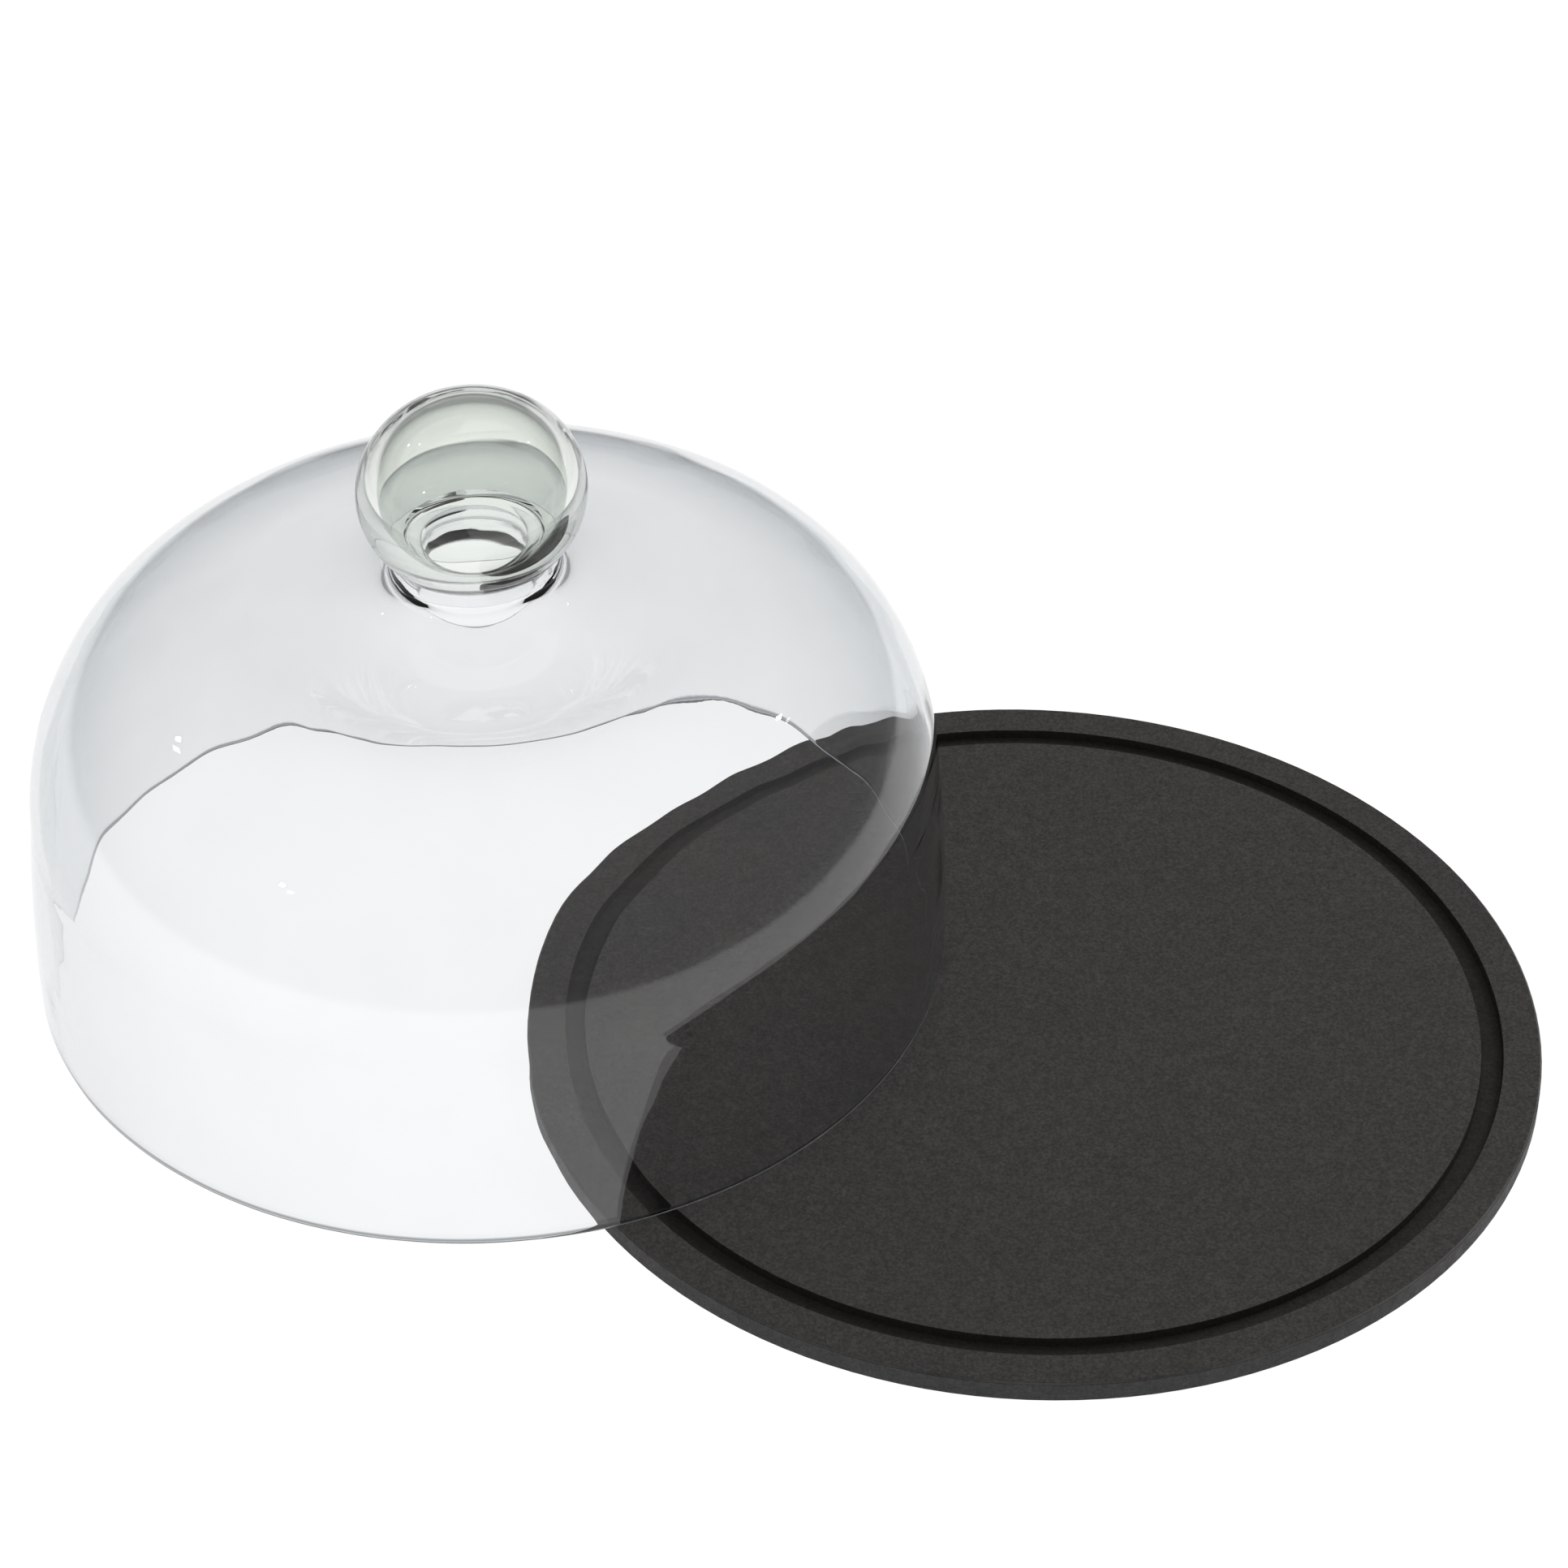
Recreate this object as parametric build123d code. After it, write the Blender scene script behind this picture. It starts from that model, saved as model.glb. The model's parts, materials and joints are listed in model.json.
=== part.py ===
from build123d import *
import os
from math import acos, asin, atan, atan2, cos, degrees, pi, radians, sin, sqrt

# Cheese dome: a glass cover with a hollow ball knob, and a round serving board with a groove for the
# cover's lip. All lengths are in millimetres.
# The origin is the centre of the board's underside, with +Z up. The cover stands beside the board's
# middle, with one side of its lip on the table and the other side leaning on the board's edge.

# Serving board
board_radius = 150.0
board_thickness = 6.7
board_top_bevel = 0.6
board_bottom_bevel = 0.4
groove_inner_radius = 132.2
groove_outer_radius = 138.8
groove_depth = 2.7
groove_wall_slope = 0.4     # how far each groove wall leans in from mouth to floor

# Glass bell, measured from its own axis and from the lowest point of its lip
lip_radius = 136.2
mid_wall_radius = 135.9
wall_top_radius = 133.7
wall_height = 61.7
shoulder_radius = 65.6
crown_radius = 1200.0
glass_thickness = 3.2       # of the wall and the lower shoulder
# The glass thickens inwards in two stages. Each one starts at a radius and ramps up over a run until
# the glass gains this much thickness per millimetre.
shoulder_taper_start = 120.0
shoulder_taper_ramp = 20.0
shoulder_taper_slope = 0.03
crown_taper_start = 74.0
crown_taper_ramp = 10.0
crown_taper_slope = 0.095

# Neck and knob
knob_width = 66.0
knob_height = 57.0
knob_centre_height = 165.0
knob_side_thickness = 5.6
knob_top_thickness = 4.0
cavity_height = 48.0
cavity_mouth_radius = 16.5
neck_radius = 24.5
neck_flare = 34.0
neck_waist_height = 142.5   # the neck's outside flares out below this height
bore_waist_height = 134.0   # and its bore below this one

# Where the cover stands: the angle of its axis seen from the board's centre, the distance between the
# two axes, and the air left between the lip and the board's edge
cover_bearing = 166.5
cover_distance = 166.4
edge_clearance = 0.3

# Shapes that follow from the dimensions above
lip_round = glass_thickness / 2
lip_centre_radius = lip_radius - lip_round
shoulder_centre = wall_top_radius - shoulder_radius
crown_drop = sqrt((crown_radius - shoulder_radius) ** 2 - shoulder_centre ** 2)
crown_centre_height = wall_height - crown_drop
crown_join_angle = atan2(crown_drop, shoulder_centre)
seam_radius = neck_radius + neck_flare
knob_cut_drop = knob_height / 2 * sqrt(1 - (2 * neck_radius / knob_width) ** 2)
knob_seam_height = knob_centre_height - knob_cut_drop
cavity_width = knob_width - 2 * knob_side_thickness
cavity_centre_height = knob_centre_height + knob_height / 2 - knob_top_thickness - cavity_height / 2
mouth_cut_drop = cavity_height / 2 * sqrt(1 - (2 * cavity_mouth_radius / cavity_width) ** 2)
mouth_round = cavity_centre_height - mouth_cut_drop - knob_seam_height
bore_radius = cavity_mouth_radius + mouth_round


def gained(radius, start, ramp, slope):
    """Thickness that one stage of the taper has added by the time it gets in to a radius."""
    run = max(start - radius, 0)
    if run < ramp:
        return slope * run ** 2 / (2 * ramp)
    return slope * (run - ramp / 2)


def thickness_at(radius):
    """How thick the shoulder or the crown is at a radius."""
    first = gained(radius, shoulder_taper_start, shoulder_taper_ramp, shoulder_taper_slope)
    second = gained(radius, crown_taper_start, crown_taper_ramp, crown_taper_slope)
    return glass_thickness + first + second


def on_shoulder(angle, inside=False):
    """Point (radius, height) on the bell's shoulder, on the outside or the inside of the glass."""
    depth = thickness_at(shoulder_centre + shoulder_radius * cos(angle)) if inside else 0
    reach = shoulder_radius - depth
    return (shoulder_centre + reach * cos(angle), wall_height + reach * sin(angle))


def on_crown(radius, inside=False):
    """Point (radius, height) on the bell's slightly domed top, on the outside or the inside."""
    depth = thickness_at(radius) if inside else 0
    return (radius, crown_centre_height + sqrt(crown_radius ** 2 - radius ** 2) - depth)


def turned(*edges):
    """Solid of revolution about +Z from a closed outline drawn as (radius, height)."""
    return revolve(Plane.XZ * make_face(Curve() + list(edges)), Axis.Z)


def make_board():
    """Flat round board with bevelled edges and a flat-floored groove for the lip."""
    floor = board_thickness - groove_depth
    outline = Polyline(
        (0, 0),
        (board_radius - board_bottom_bevel, 0),
        (board_radius, board_bottom_bevel),
        (board_radius, board_thickness - board_top_bevel),
        (board_radius - board_top_bevel, board_thickness),
        (groove_outer_radius, board_thickness),
        (groove_outer_radius - groove_wall_slope, floor),
        (groove_inner_radius + groove_wall_slope, floor),
        (groove_inner_radius, board_thickness),
        (0, board_thickness),
        close=True,
    )
    return turned(outline)


def shoulder_arc(start, end, inside):
    """Arc on the shoulder between two angles."""
    middle = (start + end) / 2
    return ThreePointArc(on_shoulder(start, inside), on_shoulder(middle, inside), on_shoulder(end, inside))


def crown_arc(start, end_radius, inside):
    """Arc on the crown from a point to a radius nearer the neck."""
    middle = on_crown((start[0] + end_radius) / 2, inside)
    return ThreePointArc(start, middle, on_crown(end_radius, inside))


def bell_skin(inside):
    """The wall, shoulder and crown from the lip to the neck's seam, outside or inside."""
    depth = glass_thickness if inside else 0
    wall = ThreePointArc(
        (lip_radius - depth, lip_round),
        (mid_wall_radius - depth, wall_height / 2),
        on_shoulder(0, inside),
    )
    turns = [shoulder_taper_start, shoulder_taper_start - shoulder_taper_ramp, crown_taper_start]
    angles = [0, *[acos((radius - shoulder_centre) / shoulder_radius) for radius in turns], crown_join_angle]
    shoulder = [shoulder_arc(low, high, inside) for low, high in zip(angles, angles[1:])]
    steep_radius = crown_taper_start - crown_taper_ramp
    return [
        wall,
        *shoulder,
        crown_arc(on_shoulder(crown_join_angle, inside), steep_radius, inside),
        crown_arc(on_crown(steep_radius, inside), seam_radius, inside),
    ]


def make_bell():
    """Glass cover with a rounded lip and a top that thickens inwards, open at the neck's seam."""
    lip = ThreePointArc(
        (lip_radius, lip_round),
        (lip_centre_radius, 0),
        (lip_radius - glass_thickness, lip_round),
    )
    seam = Line(on_crown(seam_radius), on_crown(seam_radius, inside=True))
    return turned(lip, *bell_skin(inside=False), seam, *bell_skin(inside=True))


def flare(waist, inside):
    """Curve from the neck's waist, where it is upright, down and out to the crown's seam."""
    wide, rise = seam_radius - waist[0], waist[1] - on_crown(waist[0], inside)[1]
    steps = 8
    points = []
    for step in range(steps + 1):
        angle = pi / 2 * step / steps
        radius, height = on_crown(seam_radius - wide * cos(angle), inside)
        points.append((radius, height + rise * (1 - sin(angle))))
    near, far = on_crown(seam_radius - 0.1, inside), on_crown(seam_radius + 0.1, inside)
    return Spline(*points, tangents=[(0, -1), (far[0] - near[0], far[1] - near[1])])


def make_neck():
    """Flared tube of glass that joins the crown to the knob."""
    crown_outside = on_crown(seam_radius)
    crown_inside = on_crown(seam_radius, inside=True)
    outer_waist = (neck_radius, neck_waist_height)
    inner_waist = (bore_radius, bore_waist_height)
    return turned(
        Line(crown_inside, crown_outside),
        flare(outer_waist, inside=False),
        Line(outer_waist, (neck_radius, knob_seam_height)),
        Line((neck_radius, knob_seam_height), (bore_radius, knob_seam_height)),
        Line((bore_radius, knob_seam_height), inner_waist),
        flare(inner_waist, inside=True),
    )


def oval_skin(width, height, centre_height, cut_drop):
    """Half of a flattened ball's outline, from a cut below its centre up to its top."""
    start = -asin(2 * cut_drop / height)
    steps = 8
    angles = [start + (pi / 2 - start) * step / steps for step in range(steps + 1)]
    points = [(width / 2 * cos(a), centre_height + height / 2 * sin(a)) for a in angles]
    upward = (-width / 2 * sin(start), height / 2 * cos(start))
    return Spline(*points, tangents=[upward, (-1, 0)])


def make_knob():
    """Thick-walled flattened ball on the neck's end, with a rounded mouth to its cavity."""
    top = knob_centre_height + knob_height / 2
    mouth = (cavity_mouth_radius, knob_seam_height + mouth_round)
    mouth_foot = (cavity_mouth_radius + mouth_round, knob_seam_height)
    middle = radians(225)
    return turned(
        oval_skin(knob_width, knob_height, knob_centre_height, knob_cut_drop),
        Line((0, top), (0, top - knob_top_thickness)),
        oval_skin(cavity_width, cavity_height, cavity_centre_height, mouth_cut_drop),
        ThreePointArc(
            mouth,
            (mouth_foot[0] + mouth_round * cos(middle), mouth[1] + mouth_round * sin(middle)),
            mouth_foot,
        ),
        Line(mouth_foot, (neck_radius, knob_seam_height)),
    )


def cover_place():
    """Where the cover leans: lowest lip point on the table, opposite side just over the board's edge."""
    bearing = radians(cover_bearing)
    # How far past the cover's axis its lip crosses the board's edge, towards the board
    crossing = (cover_distance ** 2 + lip_centre_radius ** 2 - board_radius ** 2) / (2 * cover_distance)
    lean = atan((board_thickness + edge_clearance) / (lip_centre_radius + crossing))
    height = lip_centre_radius * sin(lean) + lip_round * (1 - cos(lean))
    print("lean", round(degrees(lean), 3), "degrees, cover origin height", round(height, 3), "mm")
    foot = Pos(cover_distance * cos(bearing), cover_distance * sin(bearing), height)
    return foot * Rot(0, 0, cover_bearing - 180) * Rot(0, -degrees(lean), 0)


def main():
    os.makedirs("parts", exist_ok=True)
    export_step(make_board(), "parts/serving_board.step")
    place = cover_place()
    for name, make in (("glass_dome", make_bell), ("knob_neck", make_neck), ("ball_knob", make_knob)):
        export_step(place * make(), f"parts/{name}.step")


main()
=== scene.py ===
from math import asin, atan2, cos, pi, radians, sin, sqrt

import bmesh
import bpy
from mathutils import Matrix, Vector, noise
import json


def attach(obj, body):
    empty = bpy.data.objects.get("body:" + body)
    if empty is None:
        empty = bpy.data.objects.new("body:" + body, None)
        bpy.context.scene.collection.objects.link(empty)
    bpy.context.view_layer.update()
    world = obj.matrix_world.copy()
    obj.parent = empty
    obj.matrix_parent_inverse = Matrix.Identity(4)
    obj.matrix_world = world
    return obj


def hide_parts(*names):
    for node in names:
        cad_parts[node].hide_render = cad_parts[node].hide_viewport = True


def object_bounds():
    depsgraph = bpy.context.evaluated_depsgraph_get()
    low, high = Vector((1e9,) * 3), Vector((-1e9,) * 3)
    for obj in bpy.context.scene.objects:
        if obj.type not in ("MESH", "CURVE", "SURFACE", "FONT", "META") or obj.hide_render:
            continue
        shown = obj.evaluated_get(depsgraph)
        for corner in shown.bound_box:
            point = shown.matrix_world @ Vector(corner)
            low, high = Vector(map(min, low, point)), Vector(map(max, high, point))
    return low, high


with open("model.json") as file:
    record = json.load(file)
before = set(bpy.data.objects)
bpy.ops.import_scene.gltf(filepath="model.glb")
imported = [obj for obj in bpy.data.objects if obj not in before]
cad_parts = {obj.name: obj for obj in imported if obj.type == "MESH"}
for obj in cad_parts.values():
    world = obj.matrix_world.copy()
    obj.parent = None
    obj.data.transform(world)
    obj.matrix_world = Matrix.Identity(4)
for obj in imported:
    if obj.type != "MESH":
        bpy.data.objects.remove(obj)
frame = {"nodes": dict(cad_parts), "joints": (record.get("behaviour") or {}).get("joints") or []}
cad_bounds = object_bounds()

# The glass cover: radii and heights from its own axis and from the lowest point of its lip, in metres
LIP_RADIUS = 0.1362
MID_WALL_RADIUS = 0.1359
WALL_TOP_RADIUS = 0.1337
WALL_HEIGHT = 0.0617
SHOULDER_RADIUS = 0.0656
CROWN_RADIUS = 1.2
WALL_THICKNESS = 0.0032
SHOULDER_TAPER = (0.120, 0.020, 0.030)     # starts at this radius, ramps up over this run, to this slope
CROWN_TAPER = (0.074, 0.010, 0.095)
NECK_RADIUS = 0.0245
NECK_FLARE = 0.034      # how much wider the neck's foot is than its waist
WAIST = 0.1425          # the height where the flare outside ends
BORE_WAIST = 0.134      # the height where the flare of the bore ends
KNOB_WIDTH = 0.066
KNOB_HEIGHT = 0.057
KNOB_CENTRE = 0.165
KNOB_SIDE_THICKNESS = 0.0056
KNOB_TOP_THICKNESS = 0.004
CAVITY_WAIST = 0.1655   # the height where the cavity is widest
CAVITY_MOUTH_RADIUS = 0.0165
CAVITY_MOUTH_HEIGHT = 0.1464

# What follows from them
SHOULDER_CENTRE = WALL_TOP_RADIUS - SHOULDER_RADIUS
CROWN_DROP = sqrt((CROWN_RADIUS - SHOULDER_RADIUS) ** 2 - SHOULDER_CENTRE ** 2)
JOIN_ANGLE = atan2(CROWN_DROP, SHOULDER_CENTRE)
SEAM_RADIUS = NECK_RADIUS + NECK_FLARE
KNOB_CUT = KNOB_HEIGHT / 2 * sqrt(1 - (2 * NECK_RADIUS / KNOB_WIDTH) ** 2)
KNOB_SEAM = KNOB_CENTRE - KNOB_CUT
CAVITY_WIDTH = KNOB_WIDTH - 2 * KNOB_SIDE_THICKNESS
CAVITY_RISE = KNOB_CENTRE + KNOB_HEIGHT / 2 - KNOB_TOP_THICKNESS - CAVITY_WAIST
MOUTH_SHARE = sqrt(1 - (2 * CAVITY_MOUTH_RADIUS / CAVITY_WIDTH) ** 2)
CAVITY_DROP = (CAVITY_WAIST - CAVITY_MOUTH_HEIGHT) / MOUTH_SHARE
MOUTH_ROUND = CAVITY_MOUTH_HEIGHT - KNOB_SEAM
BORE_RADIUS = CAVITY_MOUTH_RADIUS + MOUTH_ROUND

# How the cover leans: its lip's lowest point height, its tilt, and how far the blown glass strays
# sideways from its axis per metre of height
LEAN = radians(1.959)
LIP_REST_HEIGHT = 0.004603
SKEW = 0.0205

# The glass mesh
AROUND = 288            # steps around the glass
STEP = 0.0028           # longest step along a glass outline
FEWEST_ARC_STEPS = 14
SLOW_RIPPLE = (0.038, 0.00015)     # the size of the hand-worked ripples, and how far they stray
QUICK_RIPPLE = (0.014, 0.00007)

# The glass material
WAVE_SCALE = 60.0       # waves of the blown glass per metre
WAVE_HEIGHT = 0.00002
WAVES_END = (0.105, 0.122)         # the waves die out between these heights
CLEAR_TINT = (0.935, 0.942, 0.948)
CLEAR_DARK = (0.915, 0.922, 0.929)
# The two edge colours are painted shade: the glass colour darkens where the glass is seen edge-on
CLEAR_EDGE_PAINTED_SHADE = (0.38, 0.42, 0.45)
GREEN_TINT = (0.93, 0.955, 0.92)
GREEN_DARK = (0.91, 0.94, 0.9)
GREEN_EDGE_PAINTED_SHADE = (0.2, 0.235, 0.21)
LIP_PAINTED_SHADE = (0.12, 0.135, 0.15)
LIP_LOW = (0.0001, 0.0005)         # the lip's painted shade sets in between these heights over its lowest plane
LIP_HIGH = (0.0009, 0.0016)        # and ends between these

# The board's material
BOARD_DARK = (0.0275, 0.0258, 0.0248)
BOARD_PALE = (0.0595, 0.0558, 0.0528)
GROOVE_PAINTED_SHADE = (0.42, 0.4, 0.38, 1)
SIDE_PAINTED_SHADE = (0.7, 0.76, 0.83, 1)
EDGE_HIGHLIGHT_COLOUR = (0.085, 0.083, 0.08, 1)
GROOVE_REACH = 0.142    # the groove lies inside this radius
BELOW_TOP = 0.00655     # the groove and the side lie below this height
SIDE_START = 0.1498     # and the side lies past this radius
EDGE_HIGHLIGHT_HEIGHT = 0.0062   # the painted highlight along the top edge lies above this height
EDGE_HIGHLIGHT_START = 0.14945   # and past this radius

# The studio
WORLD = 0.3
KEY = 130
FILL = 14
SPARK = 1.1
SPARK_SIZE = 0.055
FLOOR_FADE = (0.75, 1.3)           # the glow of the floor falls off between these radii
FLOOR_NEAR = (1, 1, 1)
FLOOR_FAR = (0.33, 0.33, 0.33)
FLOOR_RADIUS = 30.0
FLOOR_GAP = 0.0002      # how far the floor lies under the object


def cover_place():
    """The cover's own frame: its origin under the lip, +X towards the board, +Z up its axis."""
    lift = frame["joints"][0]
    way = Vector(lift["axis"]) * lift["range_m"][1]
    foot = Vector((-way.x, -way.y, LIP_REST_HEIGHT))
    bearing = atan2(way.y, way.x)
    return Matrix.Translation(foot) @ Matrix.Rotation(bearing, 4, "Z") @ Matrix.Rotation(-LEAN, 4, "Y")


# ---------------------------------------------------------------- glass outlines

def arc(centre, radius, start, end, height_radius=None):
    """Points (radius, height) along an arc or a part of an ellipse, no further apart than STEP."""
    tall = radius if height_radius is None else height_radius
    count = max(FEWEST_ARC_STEPS, int(abs(end - start) * max(radius, tall) / STEP) + 1)
    angles = [start + (end - start) * i / count for i in range(count + 1)]
    return [(centre[0] + radius * cos(a), centre[1] + tall * sin(a)) for a in angles]


def straight(start, end):
    """Points along a straight stretch of an outline."""
    gap = Vector(end) - Vector(start)
    count = max(1, int(gap.length / STEP) + 1)
    return [tuple(Vector(start) + gap * (i / count)) for i in range(count + 1)]


def joined(*stretches):
    """Stretches of an outline in one list, without the repeated points where they meet."""
    points = list(stretches[0])
    for stretch in stretches[1:]:
        points.extend(stretch[1:])
    return points


def thickness_at(radius):
    """How thick the shoulder or the crown is at a radius: it grows steadily towards the neck."""
    thickness = WALL_THICKNESS
    for start, ramp, slope in (SHOULDER_TAPER, CROWN_TAPER):
        run = max(start - radius, 0)
        thickness += slope * (run * run / (2 * ramp) if run < ramp else run - ramp / 2)
    return thickness


def wall_skin(depth):
    """The wall from just above the lip to the shoulder."""
    count = int(WALL_HEIGHT / STEP) + 1
    low, high = WALL_THICKNESS / 2, WALL_HEIGHT
    points = []
    for i in range(count + 1):
        height = low + (high - low) * i / count
        t = height / WALL_HEIGHT
        radius = (LIP_RADIUS * (1 - t) * (1 - 2 * t) + MID_WALL_RADIUS * 4 * t * (1 - t)
                  + WALL_TOP_RADIUS * t * (2 * t - 1))
        points.append((radius - depth, height))
    return points


def shoulder_skin(inside):
    """The shoulder from the wall to the crown, on the outside or the inside of the glass."""
    count = int(JOIN_ANGLE * SHOULDER_RADIUS / STEP) + 1
    points = []
    for i in range(count + 1):
        angle = JOIN_ANGLE * i / count
        outer_radius = SHOULDER_CENTRE + SHOULDER_RADIUS * cos(angle)
        reach = SHOULDER_RADIUS - (thickness_at(outer_radius) if inside else 0)
        points.append((SHOULDER_CENTRE + reach * cos(angle), WALL_HEIGHT + reach * sin(angle)))
    return points


def crown_point(radius, inside):
    """A point on the crown, on the outside or the inside of the glass."""
    depth = thickness_at(radius) if inside else 0
    height = WALL_HEIGHT - CROWN_DROP + sqrt(CROWN_RADIUS ** 2 - radius ** 2) - depth
    return (radius, height)


def crown_skin(start, end, inside):
    """The crown between two radii."""
    count = int(abs(end - start) / STEP) + 1
    return [crown_point(start + (end - start) * i / count, inside) for i in range(count + 1)]


def bell_skins():
    """The bell's outside with the rounded lip, from the inner seam down, round and up to the outer seam."""
    lip = arc((LIP_RADIUS - WALL_THICKNESS / 2, WALL_THICKNESS / 2), WALL_THICKNESS / 2, pi, 2 * pi)
    outer = joined(wall_skin(0), shoulder_skin(False))
    inner = joined(wall_skin(WALL_THICKNESS), shoulder_skin(True))
    outer_crown = crown_skin(outer[-1][0], SEAM_RADIUS, False)
    inner_crown = crown_skin(inner[-1][0], SEAM_RADIUS, True)
    return [joined(joined(inner, inner_crown)[::-1], lip, joined(outer, outer_crown))]


def flare_skin(waist, inside):
    """The flare from the crown's seam up to the neck's waist. It leaves the crown without a crease."""
    rise = waist[1] - crown_point(waist[0], inside)[1]
    wide = SEAM_RADIUS - waist[0]
    count = int(0.8 * (wide + rise) / STEP) + 1
    points = []
    for i in range(count + 1):
        angle = pi / 2 * i / count
        radius, height = crown_point(SEAM_RADIUS - wide * sin(angle), inside)
        points.append((radius, height + rise * (1 - cos(angle))))
    return points


def neck_skins():
    """The neck's flared outside and its bore, which flares into the crown's underside."""
    outer = joined(
        flare_skin((NECK_RADIUS, WAIST), False),
        straight((NECK_RADIUS, WAIST), (NECK_RADIUS, KNOB_SEAM)),
    )
    inner = joined(
        straight((BORE_RADIUS, KNOB_SEAM), (BORE_RADIUS, BORE_WAIST)),
        flare_skin((BORE_RADIUS, BORE_WAIST), True)[::-1],
    )
    return [outer, inner]


def knob_skins():
    """The ball's outside, and its cavity with the rounded mouth and the mouth's flat underside."""
    start = -asin(2 * KNOB_CUT / KNOB_HEIGHT)
    outer = arc((0, KNOB_CENTRE), KNOB_WIDTH / 2, start, pi / 2, KNOB_HEIGHT / 2)
    start = -asin(MOUTH_SHARE)
    inner = joined(
        arc((BORE_RADIUS, KNOB_SEAM + MOUTH_ROUND), MOUTH_ROUND, 1.5 * pi, pi),
        arc((0, CAVITY_WAIST), CAVITY_WIDTH / 2, start, 0, CAVITY_DROP),
        arc((0, CAVITY_WAIST), CAVITY_WIDTH / 2, 0, pi / 2, CAVITY_RISE),
    )
    return [outer, inner[::-1]]


# ---------------------------------------------------------------- glass meshes

def ripple(point, outside):
    """How far a skin of hand-worked glass strays from its true shape at a point."""
    shift = Vector((0, 0, 0)) if outside else Vector((5.1, 2.3, 8.7))
    slow = noise.noise(point / SLOW_RIPPLE[0] + shift)
    quick = noise.noise(point / QUICK_RIPPLE[0] + shift * 2)
    return SLOW_RIPPLE[1] * slow + QUICK_RIPPLE[1] * quick


def turned_ring(mesh, place, radius, height, normal):
    """The points of one outline point turned round the axis, a little off by the ripple of the glass."""
    if radius < 1e-6:
        return [mesh.verts.new(place @ Vector((SKEW * height, 0, height)))]
    outside = normal[1] > 0 if height > WALL_HEIGHT else normal[0] > 0
    ring = []
    for k in range(AROUND):
        angle = 2 * pi * k / AROUND
        shift = ripple(Vector((radius * cos(angle), radius * sin(angle), height)), outside)
        r = radius + normal[0] * shift
        h = height + normal[1] * shift
        ring.append(mesh.verts.new(place @ Vector((r * cos(angle) + SKEW * h, r * sin(angle), h))))
    return ring


def bridge(mesh, low, high):
    """The faces between two rings. Either ring may be a single point on the axis."""
    for k in range(AROUND):
        n = (k + 1) % AROUND
        if len(high) == 1:
            mesh.faces.new((low[k], low[n], high[0]))
        elif len(low) == 1:
            mesh.faces.new((low[0], high[n], high[k]))
        else:
            mesh.faces.new((low[k], low[n], high[n], high[k]))


def new_piece(name, mesh, material):
    """An object in the scene made of a finished mesh."""
    data = bpy.data.meshes.new(name)
    mesh.to_mesh(data)
    mesh.free()
    data.materials.append(material)
    piece = bpy.data.objects.new(name, data)
    bpy.context.scene.collection.objects.link(piece)
    return piece


def turned_glass(name, skins, material):
    """A piece of glass: outlines turned round the cover's axis. Its open edges meet the next piece's."""
    place = cover_place()
    mesh = bmesh.new()
    for skin in skins:
        rings = []
        for i, (radius, height) in enumerate(skin):
            before, after = Vector(skin[max(i - 1, 0)]), Vector(skin[min(i + 1, len(skin) - 1)])
            along = (after - before).normalized()
            rings.append(turned_ring(mesh, place, radius, height, (along.y, -along.x)))
        for low, high in zip(rings, rings[1:]):
            bridge(mesh, low, high)
    piece = new_piece(name, mesh, material)
    for face in piece.data.polygons:
        face.use_smooth = True
    piece.visible_shadow = False
    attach(piece, "cover")
    return piece


# ---------------------------------------------------------------- materials

def new_material(name):
    """An empty node material with its Principled shader and an adder of nodes."""
    material = bpy.data.materials.new(name)
    material.use_nodes = True
    tree = material.node_tree
    shader = tree.nodes["Principled BSDF"]

    def add(kind, **values):
        node = tree.nodes.new(kind)
        for key, value in values.items():
            if hasattr(node, key):
                setattr(node, key, value)
            else:
                node.inputs[key.replace("_", " ")].default_value = value
        return node

    return material, shader, add, tree.links.new


def colour_ramp(add, low, low_colour, high, high_colour):
    """A colour ramp with two stops."""
    ramp = add("ShaderNodeValToRGB")
    for stop, position, colour in zip(ramp.color_ramp.elements, (low, high), (low_colour, high_colour)):
        stop.position = position
        stop.color = (*colour, 1)
    return ramp


def mixed(add, link, blend, factor, first, second):
    """The colour output of a mix of two colours. The factor and the colours are sockets or values."""
    mix = add("ShaderNodeMix", data_type="RGBA", blend_type=blend)
    for socket, value in zip((mix.inputs[0], mix.inputs[6], mix.inputs[7]), (factor, first, second)):
        if isinstance(value, bpy.types.NodeSocket):
            link(value, socket)
        else:
            socket.default_value = value
    return mix.outputs[2]


def computed(add, link, operation, first, second):
    """The output of a Math node. Each operand is a socket or a number."""
    node = add("ShaderNodeMath", operation=operation)
    for socket, value in zip(node.inputs, (first, second)):
        if isinstance(value, bpy.types.NodeSocket):
            link(value, socket)
        else:
            socket.default_value = value
    return node.outputs[0]


def faded(add, link, value, start, end):
    """A factor that fades from 1 to 0 while the value goes from start to end."""
    node = add("ShaderNodeMapRange")
    link(value, node.inputs[0])
    for socket, number in zip(list(node.inputs)[1:5], (start, end, 1.0, 0.0)):
        socket.default_value = number
    return node.outputs[0]


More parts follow.
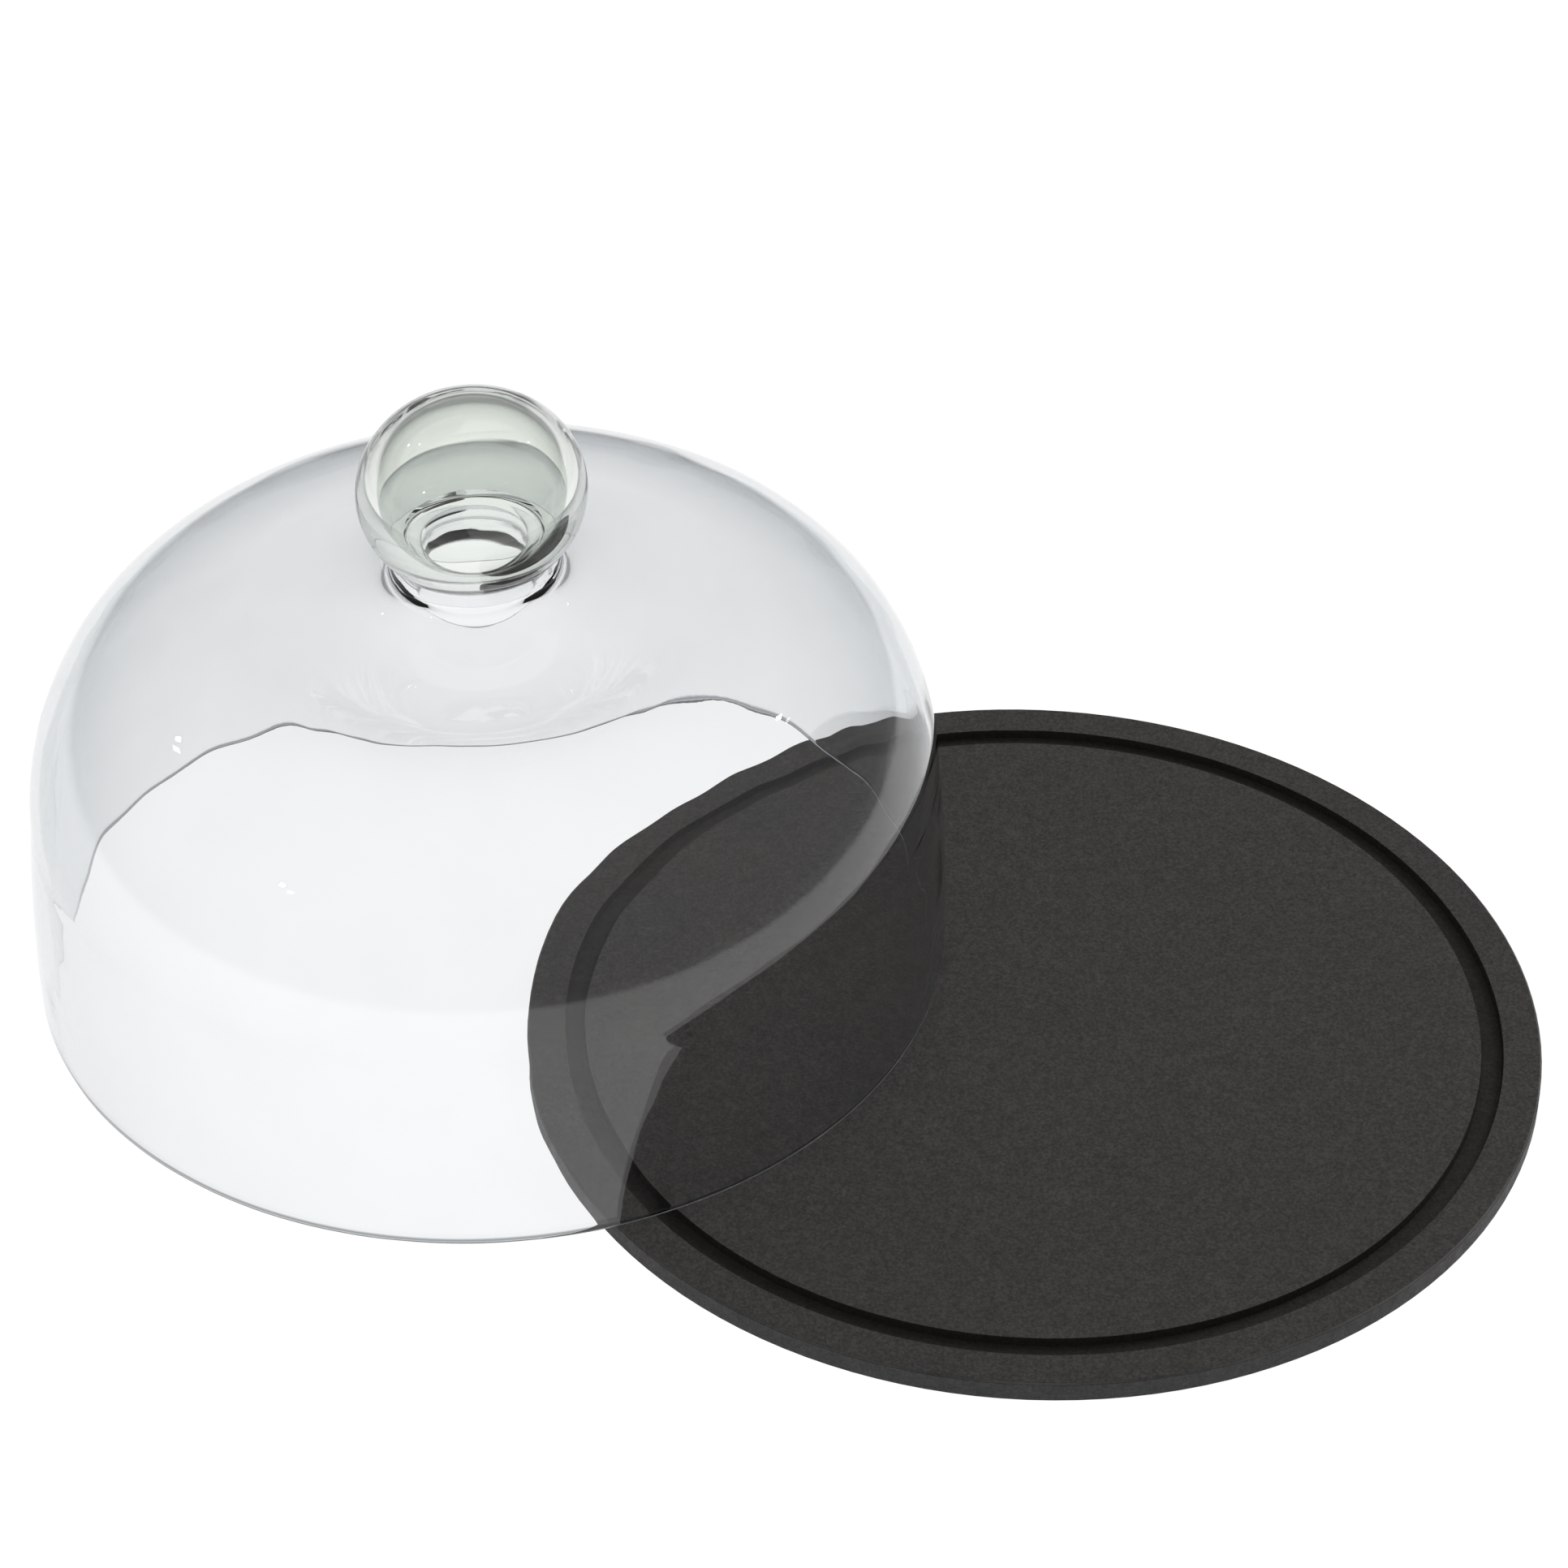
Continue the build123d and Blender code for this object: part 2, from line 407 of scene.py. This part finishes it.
def glass(name, tint, dark_tint, edge_painted_shade):
    """Clear blown glass: uneven tint, painted shade where it is seen edge-on and along the lip, with fine
    waves low down.
    """
    material, shader, add, link = new_material(name)
    shader.inputs["Transmission Weight"].default_value = 1.0
    shader.inputs["Roughness"].default_value = 0.0
    shader.inputs["IOR"].default_value = 1.5
    place = add("ShaderNodeTexCoord")
    cloud = add("ShaderNodeTexNoise", Scale=40.0, Detail=2.0)
    ramp = colour_ramp(add, 0.3, dark_tint, 0.7, tint)
    link(place.outputs["Object"], cloud.inputs["Vector"])
    link(cloud.outputs["Fac"], ramp.inputs["Fac"])
    # Painted shade: the glass colour darkens where its surface is seen edge-on
    facing = add("ShaderNodeLayerWeight", Blend=0.5)
    edge_on = computed(add, link, "POWER", facing.outputs["Facing"], 2.0)
    body = mixed(add, link, "MIX", edge_on, ramp.outputs["Color"], (*edge_painted_shade, 1))

    # Painted shade: the glass colour darkens in a band just above the lip's lowest plane
    cover = cover_place()
    up = cover.to_3x3() @ Vector((0, 0, 1))
    above = add("ShaderNodeVectorMath", operation="DOT_PRODUCT")
    above.inputs[1].default_value = up
    link(place.outputs["Object"], above.inputs[0])
    above_lip = computed(add, link, "SUBTRACT", above.outputs["Value"], cover.translation.dot(up))
    under_high = faded(add, link, above_lip, LIP_HIGH[0], LIP_HIGH[1])
    under_low = faded(add, link, above_lip, LIP_LOW[0], LIP_LOW[1])
    lip = computed(add, link, "SUBTRACT", under_high, under_low)
    body = mixed(add, link, "MIX", lip, body, (*LIP_PAINTED_SHADE, 1))
    link(body, shader.inputs["Base Color"])

    waves = add("ShaderNodeTexNoise", Scale=WAVE_SCALE, Detail=1.0)
    link(place.outputs["Object"], waves.inputs["Vector"])
    apart = add("ShaderNodeSeparateXYZ")
    link(place.outputs["Object"], apart.inputs[0])
    low = faded(add, link, apart.outputs["Z"], WAVES_END[0], WAVES_END[1])
    height = computed(add, link, "MULTIPLY", waves.outputs["Fac"], low)
    bump = add("ShaderNodeBump", Strength=1.0, Distance=WAVE_HEIGHT)
    link(height, bump.inputs["Height"])
    link(bump.outputs["Normal"], shader.inputs["Normal"])
    return material


def fibre_board():
    """Matt, almost black pressed fibre: pale speckle, warm mottle, painted highlight along the top edge,
    painted shade in the groove and on the side.
    """
    material, shader, add, link = new_material("fibre_board")
    shader.inputs["Specular IOR Level"].default_value = 0.35
    place = add("ShaderNodeTexCoord")
    apart = add("ShaderNodeSeparateXYZ")
    flat = add("ShaderNodeVectorMath", operation="MULTIPLY")
    flat.inputs[1].default_value = (1, 1, 0)
    length = add("ShaderNodeVectorMath", operation="LENGTH")
    fine = add("ShaderNodeTexNoise", Scale=1100.0, Detail=3.0, Roughness=0.7)
    coarse = add("ShaderNodeTexNoise", Scale=230.0, Detail=4.0, Roughness=0.75)
    mottle = add("ShaderNodeTexNoise", Scale=22.0, Detail=3.0)
    for node in (apart, flat, fine, coarse, mottle):
        link(place.outputs["Object"], node.inputs[0])
    link(flat.outputs[0], length.inputs[0])
    radius, height = length.outputs["Value"], apart.outputs["Z"]

    grain = colour_ramp(add, 0.38, BOARD_DARK, 0.68, BOARD_PALE)
    blotch = colour_ramp(add, 0.4, (0.93, 0.93, 0.935), 0.64, (1.05, 1.03, 1.015))
    tone = colour_ramp(add, 0.35, (0.96, 0.962, 0.975), 0.65, (1, 0.99, 0.972))
    link(fine.outputs["Fac"], grain.inputs["Fac"])
    link(coarse.outputs["Fac"], blotch.inputs["Fac"])
    link(mottle.outputs["Fac"], tone.inputs["Fac"])
    colour = mixed(add, link, "MULTIPLY", 1.0, grain.outputs["Color"], blotch.outputs["Color"])
    colour = mixed(add, link, "MULTIPLY", 1.0, colour, tone.outputs["Color"])

    # Painted shade: the groove is darkened in the board's colour
    below_top = computed(add, link, "LESS_THAN", height, BELOW_TOP)
    in_groove = computed(add, link, "LESS_THAN", radius, GROOVE_REACH)
    groove = computed(add, link, "MULTIPLY", below_top, in_groove)
    colour = mixed(add, link, "MULTIPLY", groove, colour, GROOVE_PAINTED_SHADE)
    # Painted shade: the board's side is darker and a little bluer than its top
    past_top = computed(add, link, "GREATER_THAN", radius, SIDE_START)
    side = computed(add, link, "MULTIPLY", below_top, past_top)
    colour = mixed(add, link, "MULTIPLY", side, colour, SIDE_PAINTED_SHADE)
    # Painted highlight: a pale line along the top edge, broken into patches by the mottle
    high = computed(add, link, "GREATER_THAN", height, EDGE_HIGHLIGHT_HEIGHT)
    out = computed(add, link, "GREATER_THAN", radius, EDGE_HIGHLIGHT_START)
    highlight_patches = faded(add, link, mottle.outputs["Fac"], 0.75, 0.35)
    edge = computed(add, link, "MULTIPLY", high, out)
    edge = computed(add, link, "MULTIPLY", edge, highlight_patches)
    colour = mixed(add, link, "MIX", edge, colour, EDGE_HIGHLIGHT_COLOUR)
    link(colour, shader.inputs["Base Color"])

    rough = faded(add, link, coarse.outputs["Fac"], 0.3, 0.7)
    rough = computed(add, link, "MULTIPLY", rough, 0.2)
    rough = computed(add, link, "ADD", rough, 0.52)
    link(rough, shader.inputs["Roughness"])
    bump = add("ShaderNodeBump", Strength=0.25, Distance=0.00012)
    link(fine.outputs["Fac"], bump.inputs["Height"])
    link(bump.outputs["Normal"], shader.inputs["Normal"])
    return material


def white_floor():
    """Plain studio floor: it glows white round the object and fades to grey further out."""
    material, shader, add, link = new_material("white_floor")
    shader.inputs["Base Color"].default_value = (0.03, 0.03, 0.03, 1)
    shader.inputs["Roughness"].default_value = 0.9
    shader.inputs["Specular IOR Level"].default_value = 0.0
    place = add("ShaderNodeTexCoord")
    length = add("ShaderNodeVectorMath", operation="LENGTH")
    link(place.outputs["Object"], length.inputs[0])
    near = faded(add, link, length.outputs["Value"], FLOOR_FADE[0], FLOOR_FADE[1])
    glow = mixed(add, link, "MIX", near, (*FLOOR_FAR, 1), (*FLOOR_NEAR, 1))
    link(glow, shader.inputs["Emission Color"])
    shader.inputs["Emission Strength"].default_value = 1.0
    return material


# ---------------------------------------------------------------- stage, lights and camera

def make_floor():
    """A large round floor under the object."""
    mesh = bmesh.new()
    bmesh.ops.create_circle(mesh, cap_ends=True, radius=FLOOR_RADIUS, segments=64)
    floor = new_piece("floor", mesh, white_floor())
    floor.location.z = cad_bounds[0][2] - FLOOR_GAP


def soft_light(name, location, size, power, mirrored):
    """A square light that faces the object. Polished glass mirrors it only on request."""
    data = bpy.data.lights.new(name, "AREA")
    data.shape = "RECTANGLE"
    data.size = data.size_y = size
    data.energy = power
    light = bpy.data.objects.new(name, data)
    light.location = location
    light.rotation_euler = (-Vector(location)).to_track_quat("-Z", "Y").to_euler()
    light.visible_glossy = mirrored
    light.visible_transmission = mirrored
    bpy.context.scene.collection.objects.link(light)


def make_world(strength):
    """A dim grey studio all round."""
    world = bpy.data.worlds.new("studio")
    bpy.context.scene.world = world
    world.use_nodes = True
    background = world.node_tree.nodes["Background"]
    background.inputs["Color"].default_value = (1, 1, 1, 1)
    background.inputs["Strength"].default_value = strength


def make_camera():
    """The camera: its tilt down, distance, turn about its own line of sight and lens."""
    tilt, distance, roll = 0.680937, 1.691649, 0.012647
    target = Vector((-0.074628, 0.118537, 0))
    back = Vector((0, -cos(tilt), sin(tilt)))
    right = Vector((1, 0, 0))
    up = back.cross(right)
    turned_right = right * cos(roll) + up * sin(roll)
    turned_up = up * cos(roll) - right * sin(roll)
    data = bpy.data.cameras.new("camera")
    data.lens = 123.69
    data.sensor_width = 36
    camera = bpy.data.objects.new("camera", data)
    axes = Matrix((turned_right, turned_up, back)).transposed()
    camera.matrix_world = Matrix.Translation(target + back * distance) @ axes.to_4x4()
    bpy.context.scene.collection.objects.link(camera)
    bpy.context.scene.camera = camera


def main():
    clear = glass("clear_glass", CLEAR_TINT, CLEAR_DARK, CLEAR_EDGE_PAINTED_SHADE)
    green = glass("green_glass", GREEN_TINT, GREEN_DARK, GREEN_EDGE_PAINTED_SHADE)
    bell = turned_glass("bell", bell_skins(), clear)
    neck = turned_glass("neck", neck_skins(), clear)
    ball = turned_glass("ball", knob_skins(), green)
    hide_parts("glass_dome")
    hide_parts("knob_neck")
    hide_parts("ball_knob")
    board = frame["nodes"]["serving_board"]
    board.data.materials.clear()
    board.data.materials.append(fibre_board())
    make_floor()
    make_world(WORLD)
    soft_light("key", (2.2, 2.0, 1.7), 1.8, KEY, False)
    soft_light("fill", (-0.6, -1.6, 2.4), 1.6, FILL, False)
    soft_light("spark_left", (-1.9, -1.1, 1.6), SPARK_SIZE, SPARK, True)
    soft_light("spark_back", (-1.8, 1.0, 1.5), SPARK_SIZE, SPARK, True)
    soft_light("spark_right", (1.41, 1.18, 1.84), SPARK_SIZE, SPARK, True)
    make_camera()
    bpy.context.scene.view_settings.view_transform = "Standard"
    bpy.context.scene.cycles.max_bounces = 32
    bpy.context.scene.cycles.glossy_bounces = 16
    bpy.context.scene.cycles.transmission_bounces = 32


main()
